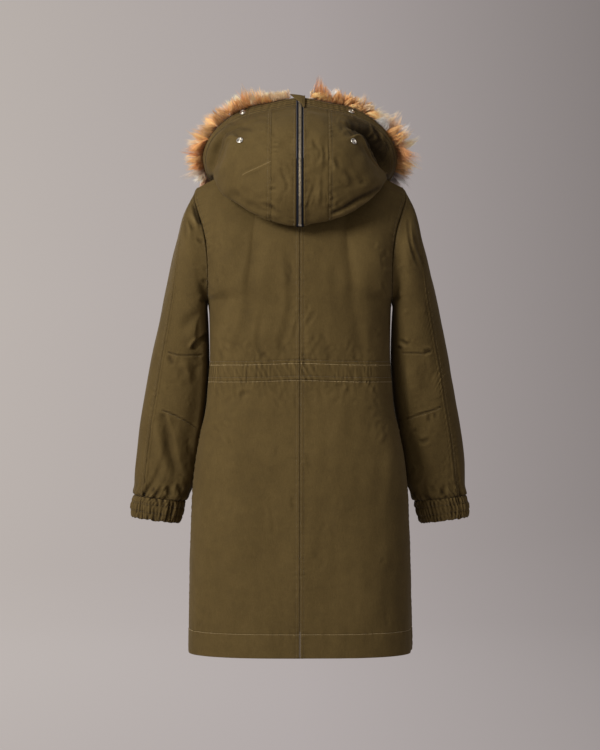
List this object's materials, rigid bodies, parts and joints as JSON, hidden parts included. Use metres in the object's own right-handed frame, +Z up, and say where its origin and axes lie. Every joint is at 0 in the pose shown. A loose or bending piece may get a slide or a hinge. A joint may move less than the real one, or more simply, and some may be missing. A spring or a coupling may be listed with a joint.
{
  "type": "fur trimmed parka",
  "caption": "Thigh-length hooded parka as worn, hollow and empty: fur-edged hood down with a zip along its middle, stitched waist channel, gathered cuffs, front zip",
  "frame": {"origin": "on the centre plane at the shoulder line, inside the neck opening, where the wearer's shoulders and neck hold the garment up", "axes": "+Z up, +X towards the wearer's left, the front zip faces -Y and the hood lies to +Y"},
  "size_m": [0.667, 0.3547, 1.0949],
  "materials": {
    "olive_cotton": "matte cotton twill",
    "zip_tape": "matte woven tape",
    "nickel": "satin nickel",
    "fur": "long-haired fur"
  },
  "bodies": {
    "parka": {"back_left": "olive_cotton", "back_right": "olive_cotton", "front_left": "olive_cotton", "front_right": "olive_cotton", "sleeve_under_left": "olive_cotton", "sleeve_under_right": "olive_cotton", "sleeve_top_left": "olive_cotton", "sleeve_top_right": "olive_cotton", "cuff_left": "olive_cotton", "cuff_right": "olive_cotton", "hood_centre_left": "olive_cotton", "hood_centre_right": "olive_cotton", "hood_side_left": "olive_cotton", "hood_side_right": "olive_cotton", "hood_brim_left": "olive_cotton", "hood_brim_right": "olive_cotton", "hood_tab": "olive_cotton", "hood_zip_left": "zip_tape", "hood_zip_right": "zip_tape", "front_zip_left": "zip_tape", "front_zip_right": "zip_tape", "hood_zip_slider": "nickel", "hood_zip_stop": "nickel", "front_zip_slider": "nickel", "stud_upper_left": "nickel", "stud_upper_right": "nickel", "stud_lower_left": "nickel", "stud_lower_right": "nickel", "fur_left": "fur", "fur_right": "fur"},
    "pull": {"front_zip_pull": "nickel"}
  },
  "joints": [
    {"name": "front_pull_swing", "type": "hinge", "parent": "parka", "child": "pull", "pos_m": [0, -0.11055, -0.06316], "axis": [-1, 0, 0], "range_deg": [0, 120]}
  ]
}
